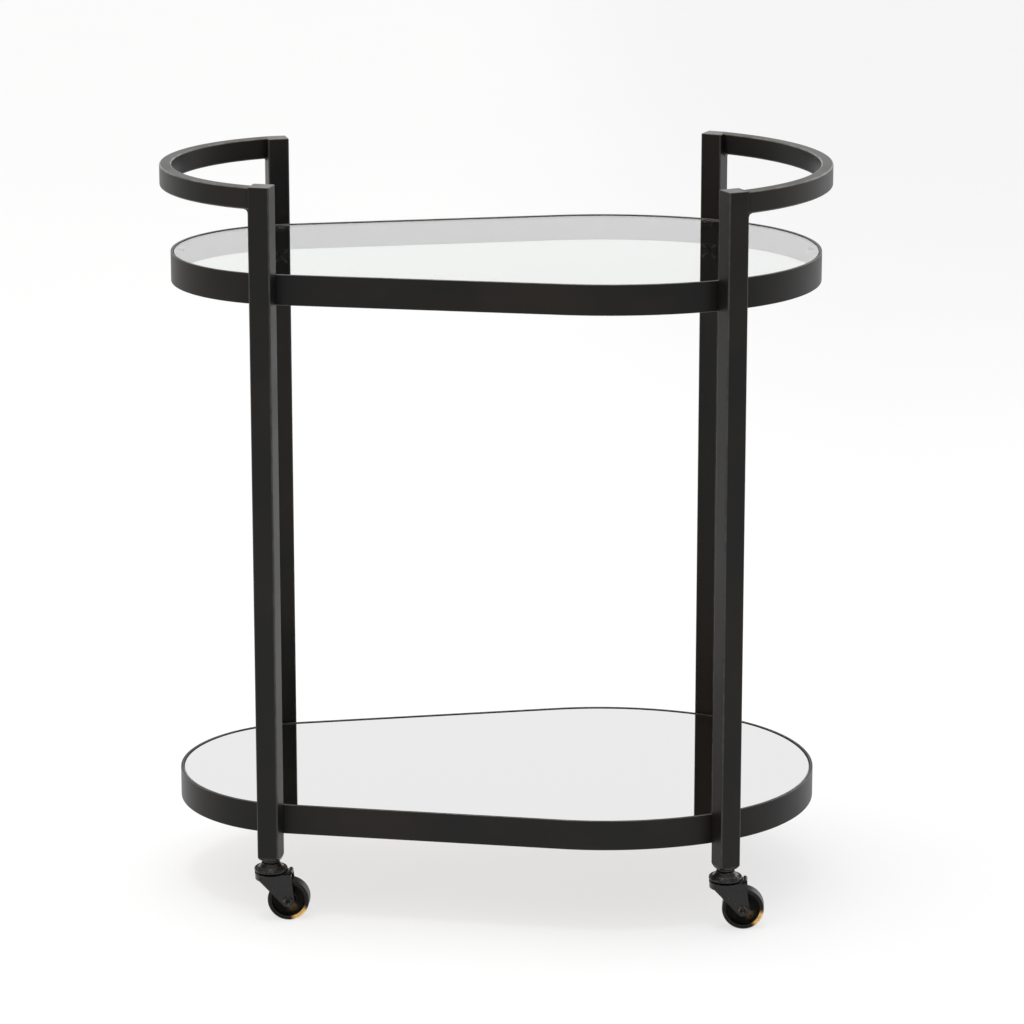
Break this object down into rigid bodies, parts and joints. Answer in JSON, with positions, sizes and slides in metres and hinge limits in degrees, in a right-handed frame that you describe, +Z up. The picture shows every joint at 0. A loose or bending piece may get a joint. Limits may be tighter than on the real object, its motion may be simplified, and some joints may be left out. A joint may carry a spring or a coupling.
{
  "type": "bar cart",
  "caption": "Oval bar cart with a clear glass upper tray, a mirrored lower tray, square posts, curved end handles and swivel casters.",
  "frame": {"origin": "on the floor under the middle of the cart's bounding box", "axes": "+X towards the broad end of the trays, +Y towards the back, +Z up"},
  "size_m": [0.772, 0.4272, 0.857],
  "materials": {
    "frame_black": "satin powder coat",
    "screw_black": "black oxide",
    "zinc": "zinc plated",
    "bumper": "clear soft pad",
    "glass": "clear float glass, polished edge",
    "backing": "hardboard",
    "mirror": "silvered glass",
    "caster_black": "satin black",
    "ball_steel": "polished",
    "bush_brass": "turned",
    "wheel_black": "satin black over brass",
    "tyre_black": "satin black over brass"
  },
  "bodies": {
    "root": {"post_front_left": "frame_black", "post_front_right": "frame_black", "post_back_left": "frame_black", "post_back_right": "frame_black", "post_top_plates": "frame_black", "post_bungs": "frame_black", "handle_left": "frame_black", "handle_right": "frame_black", "handle_welds": "frame_black", "top_rim": "frame_black", "top_supports": "frame_black", "top_tabs": "frame_black", "top_screws": "screw_black", "top_nuts": "zinc", "top_bumpers": "bumper", "top_glass": "glass", "bottom_rim": "frame_black", "bottom_supports": "frame_black", "bottom_tabs": "frame_black", "bottom_screws": "screw_black", "mirror_backing": "backing", "mirror": "mirror", "stem_front_left": "caster_black", "race_plate_front_left": "caster_black", "balls_front_left": "ball_steel", "stem_front_right": "caster_black", "race_plate_front_right": "caster_black", "balls_front_right": "ball_steel", "stem_back_left": "caster_black", "race_plate_back_left": "caster_black", "balls_back_left": "ball_steel", "stem_back_right": "caster_black", "race_plate_back_right": "caster_black", "balls_back_right": "ball_steel"},
    "swivel_front_left": {"fork_front_left": "caster_black", "axle_front_left": "caster_black"},
    "wheel_front_left": {"bush_front_left": "bush_brass", "wheel_core_front_left": "wheel_black", "tyre_front_left": "tyre_black"},
    "swivel_front_right": {"fork_front_right": "caster_black", "axle_front_right": "caster_black"},
    "wheel_front_right": {"bush_front_right": "bush_brass", "wheel_core_front_right": "wheel_black", "tyre_front_right": "tyre_black"},
    "swivel_back_left": {"fork_back_left": "caster_black", "axle_back_left": "caster_black"},
    "wheel_back_left": {"bush_back_left": "bush_brass", "wheel_core_back_left": "wheel_black", "tyre_back_left": "tyre_black"},
    "swivel_back_right": {"fork_back_right": "caster_black", "axle_back_right": "caster_black"},
    "wheel_back_right": {"bush_back_right": "bush_brass", "wheel_core_back_right": "wheel_black", "tyre_back_right": "tyre_black"}
  },
  "joints": [
    {"name": "swivel_front_left", "type": "hinge", "parent": "root", "child": "swivel_front_left", "pos_m": [-0.26052, -0.16252, 0.0545], "axis": [0, 0, 1], "continuous": true},
    {"name": "roll_front_left", "type": "hinge", "parent": "swivel_front_left", "child": "wheel_front_left", "pos_m": [-0.24007, -0.16395, 0.024], "axis": [0.0698, 0.9976, 0], "continuous": true},
    {"name": "swivel_front_right", "type": "hinge", "parent": "root", "child": "swivel_front_right", "pos_m": [0.26133, -0.19428, 0.0545], "axis": [0, 0, 1], "continuous": true},
    {"name": "roll_front_right", "type": "hinge", "parent": "swivel_front_right", "child": "wheel_front_right", "pos_m": [0.28178, -0.19571, 0.024], "axis": [0.0698, 0.9976, 0], "continuous": true},
    {"name": "swivel_back_left", "type": "hinge", "parent": "root", "child": "swivel_back_left", "pos_m": [-0.26052, 0.16252, 0.0545], "axis": [0, 0, 1], "continuous": true},
    {"name": "roll_back_left", "type": "hinge", "parent": "swivel_back_left", "child": "wheel_back_left", "pos_m": [-0.24022, 0.15967, 0.024], "axis": [0.1392, 0.9903, 0], "continuous": true},
    {"name": "swivel_back_right", "type": "hinge", "parent": "root", "child": "swivel_back_right", "pos_m": [0.26133, 0.19428, 0.0545], "axis": [0, 0, 1], "continuous": true},
    {"name": "roll_back_right", "type": "hinge", "parent": "swivel_back_right", "child": "wheel_back_right", "pos_m": [0.28163, 0.19143, 0.024], "axis": [0.1392, 0.9903, 0], "continuous": true}
  ]
}
